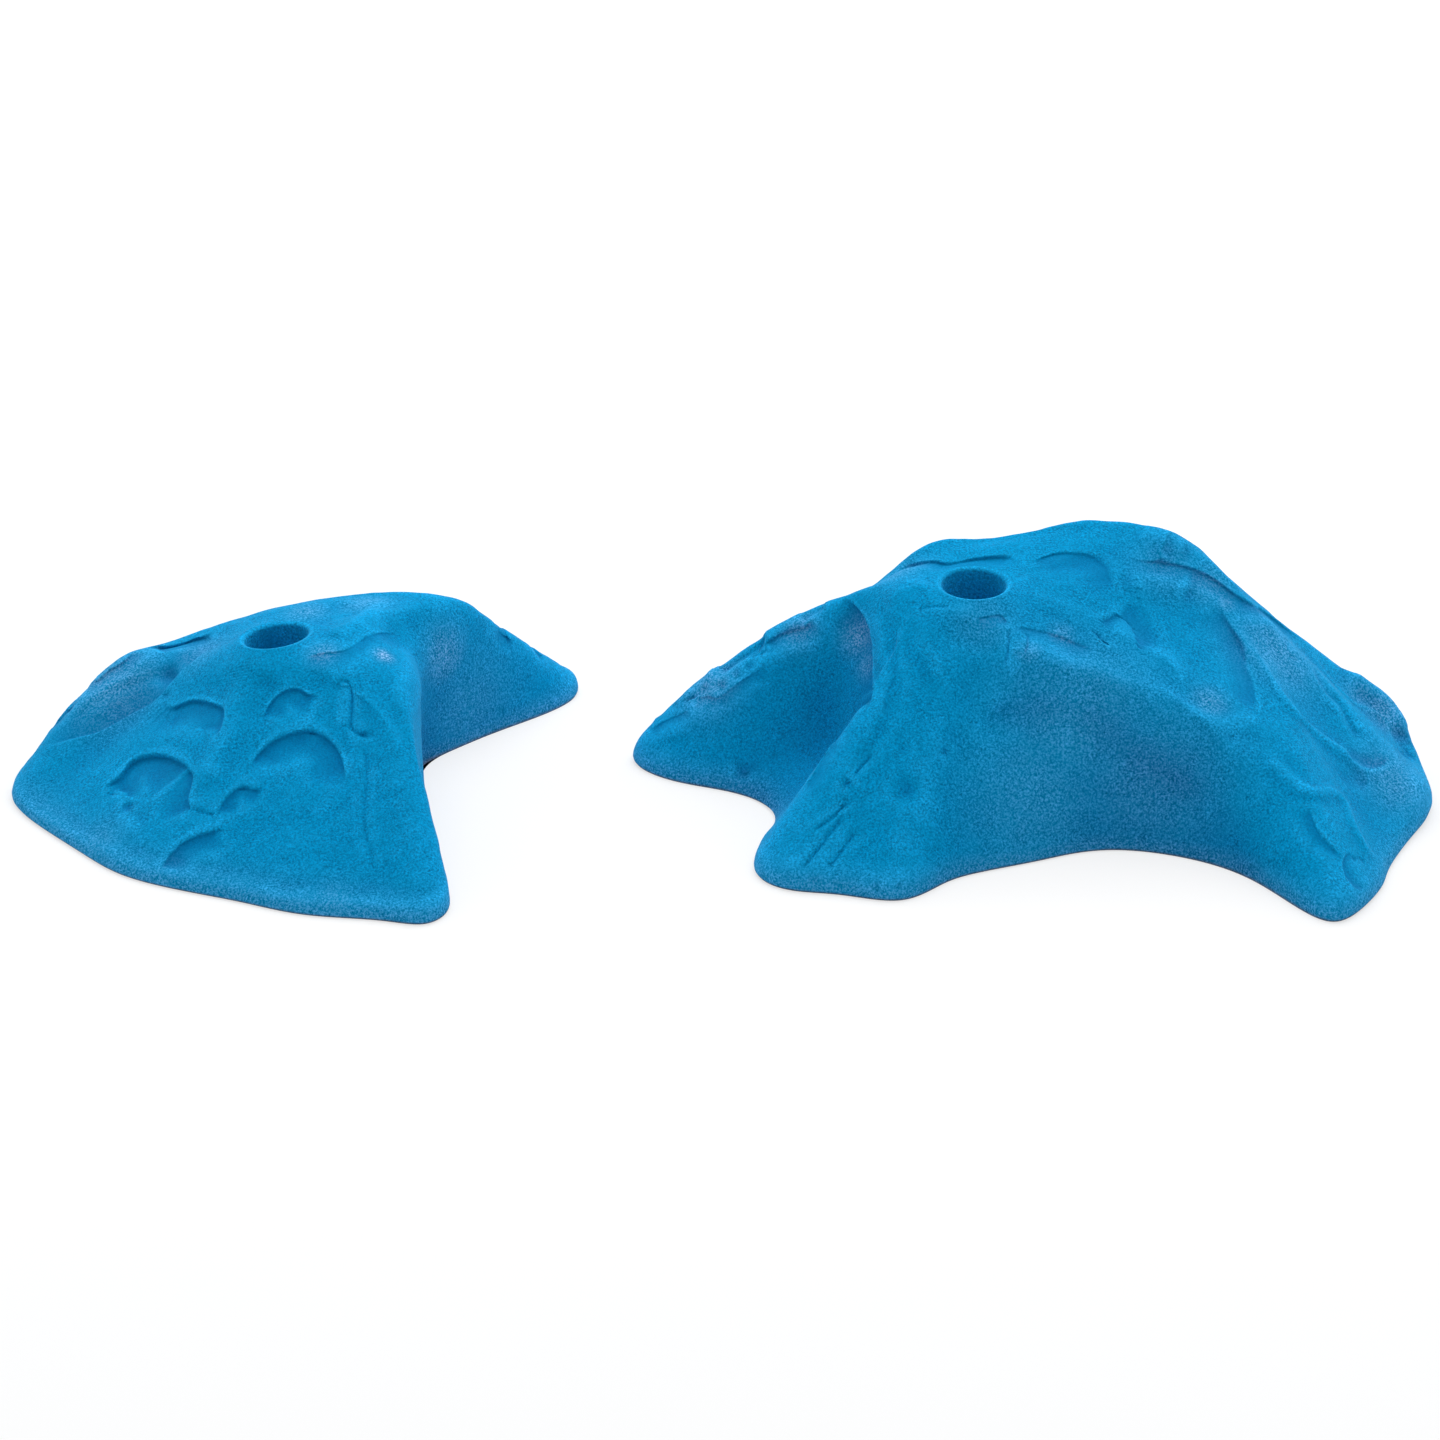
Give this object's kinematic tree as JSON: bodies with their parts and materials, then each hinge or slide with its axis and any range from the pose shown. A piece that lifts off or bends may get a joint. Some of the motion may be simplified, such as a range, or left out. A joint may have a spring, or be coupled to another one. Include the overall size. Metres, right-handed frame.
{
  "type": "climbing hold",
  "caption": "Set of cast rock-like climbing holds, a large jug beside a smaller edge, with flared toes, hollowed coves and counterbored bolt holes lined by steel washers.",
  "frame": {"origin": "centre of the set's box, on the plane of the flat backs of both holds", "axes": "+Z away from the climbing wall, along both bolt holes; +X from the small hold to the large one; +Y away from the picture's viewer"},
  "size_m": [0.4456, 0.176, 0.0779],
  "materials": {
    "casting": "sandy cast polyurethane",
    "washer": "zinc plated"
  },
  "bodies": {
    "large_hold": {"large_hold_body": "casting", "large_hold_washer": "washer"},
    "small_hold": {"small_hold_body": "casting", "small_hold_washer": "washer"}
  },
  "joints": [
    {"name": "small_hold_lift", "type": "slide", "parent": "large_hold", "child": "small_hold", "axis": [0, 0, 1], "range_m": [0, 0.1]}
  ]
}
